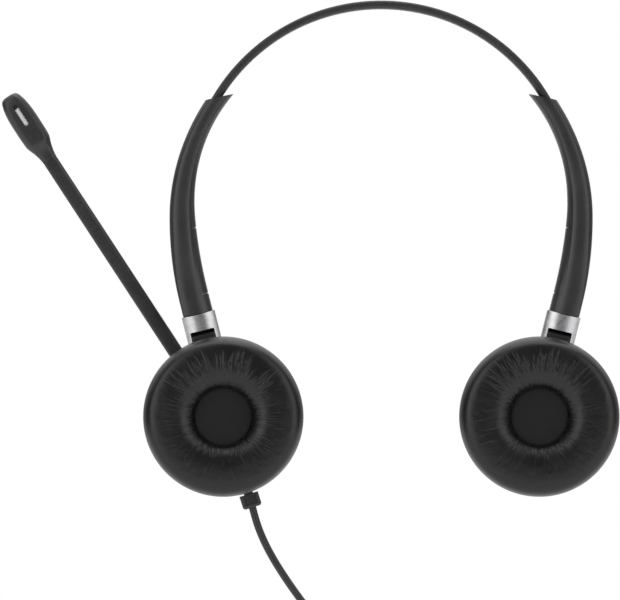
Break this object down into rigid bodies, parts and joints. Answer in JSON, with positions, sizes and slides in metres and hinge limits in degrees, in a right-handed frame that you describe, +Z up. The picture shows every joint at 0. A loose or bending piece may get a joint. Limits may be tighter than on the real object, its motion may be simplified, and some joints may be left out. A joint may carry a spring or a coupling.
{
  "type": "telephone headset",
  "caption": "Wired two-ear office headset: thin sprung headband, sliding arms, metal forks, round swivelling and tilting cushioned cups, a turning microphone boom and a plug cable.",
  "frame": {"origin": "Midway between the two cup centres, on the plane through the headband and both swivel axes.", "axes": "+Z up through the crown of the headband, +X to the right in the front view, cushions face -Y; the boom is on the -X cup."},
  "size_m": [0.2313, 0.033, 0.3007],
  "materials": {
    "band_rubber": "matte soft rubber",
    "spring_steel": "polished strip",
    "arm_plastic": "fine matte texture",
    "fork_aluminium": "brushed",
    "steel_fixings": "plain",
    "cup_plastic": "fine matte texture",
    "cushion_leather": "soft, fine wrinkles",
    "disc_fabric": "fine weave",
    "driver_plastic": "plain",
    "magnet_steel": "plated",
    "boom_plastic": "satin",
    "mesh_metal": "fine perforated",
    "board_laminate": "lacquered",
    "cable_rubber": "satin",
    "contact_metal": "plated",
    "insulator_plastic": "plain"
  },
  "bodies": {
    "headband": {"headband_sheath": "band_rubber", "headband_strap": "spring_steel", "strap_stop_left": "arm_plastic", "strap_stop_right": "arm_plastic", "strap_rivets": "steel_fixings"},
    "arm_left": {"arm_shell_left": "arm_plastic", "channel_cover_left": "arm_plastic", "swivel_cover_left": "arm_plastic", "arm_screws_left": "steel_fixings", "detent_spring_left": "spring_steel"},
    "fork_left": {"fork_left": "fork_aluminium", "swivel_spindle_left": "steel_fixings", "spindle_clip_left": "steel_fixings", "tilt_pin_left": "steel_fixings"},
    "cup_left": {"cup_shell_left": "cup_plastic", "baffle_left": "cup_plastic", "baffle_screws_left": "steel_fixings", "driver_basket_left": "driver_plastic", "driver_cone_left": "driver_plastic", "driver_magnet_left": "magnet_steel", "cushion_ring_left": "cup_plastic", "acoustic_disc_left": "disc_fabric", "ear_cushion_left": "cushion_leather", "friction_washer": "steel_fixings", "circuit_board": "board_laminate", "strain_relief": "cable_rubber", "cable": "cable_rubber", "jack_shell": "cable_rubber", "jack_sleeve": "contact_metal", "jack_rings": "contact_metal", "jack_insulator": "insulator_plastic", "jack_tip": "contact_metal"},
    "arm_right": {"arm_shell_right": "arm_plastic", "channel_cover_right": "arm_plastic", "swivel_cover_right": "arm_plastic", "arm_screws_right": "steel_fixings", "detent_spring_right": "spring_steel"},
    "fork_right": {"fork_right": "fork_aluminium", "swivel_spindle_right": "steel_fixings", "spindle_clip_right": "steel_fixings", "tilt_pin_right": "steel_fixings"},
    "cup_right": {"cup_shell_right": "cup_plastic", "baffle_right": "cup_plastic", "baffle_screws_right": "steel_fixings", "driver_basket_right": "driver_plastic", "driver_cone_right": "driver_plastic", "driver_magnet_right": "magnet_steel", "cushion_ring_right": "cup_plastic", "acoustic_disc_right": "disc_fabric", "ear_cushion_right": "cushion_leather", "cup_cap": "cup_plastic"},
    "boom": {"boom_hub": "boom_plastic", "hub_screw": "steel_fixings", "boom_root": "boom_plastic"},
    "boom_end": {"boom_tip": "boom_plastic", "mic_shell_front": "boom_plastic", "mic_shell_rear": "boom_plastic", "mic_mesh": "mesh_metal", "mic_element": "magnet_steel"}
  },
  "joints": [
    {"name": "left_extension", "type": "hinge", "parent": "headband", "child": "arm_left", "pos_m": [0, 0, 0.08235], "axis": [0, -1, 0], "range_deg": [0, 16]},
    {"name": "right_extension", "type": "hinge", "parent": "headband", "child": "arm_right", "pos_m": [0, 0, 0.08235], "axis": [0, 1, 0], "range_deg": [0, 16]},
    {"name": "left_swivel", "type": "hinge", "parent": "arm_left", "child": "fork_left", "pos_m": [-0.06819, 0, 0.03687], "axis": [-0.2419, 0, 0.9703], "range_deg": [-5, 95]},
    {"name": "right_swivel", "type": "hinge", "parent": "arm_right", "child": "fork_right", "pos_m": [0.06819, 0, 0.03687], "axis": [-0.2419, 0, -0.9703], "range_deg": [-5, 95]},
    {"name": "left_tilt", "type": "hinge", "parent": "fork_left", "child": "cup_left", "pos_m": [-0.06592, 0, 0.02775], "axis": [0.9703, 0, 0.2419], "range_deg": [-15, 15]},
    {"name": "right_tilt", "type": "hinge", "parent": "fork_right", "child": "cup_right", "pos_m": [0.06592, 0, 0.02775], "axis": [0.9703, 0, -0.2419], "range_deg": [-15, 15]},
    {"name": "boom_pivot", "type": "hinge", "parent": "cup_left", "child": "boom", "pos_m": [-0.059, 0.01, 0], "axis": [0, -1, 0], "range_deg": [-5, 300]},
    {"name": "boom_bend", "type": "hinge", "parent": "boom", "child": "boom_end", "pos_m": [-0.10456, 0.0107, 0.06579], "axis": [0, -1, 0], "range_deg": [-20, 30]}
  ]
}
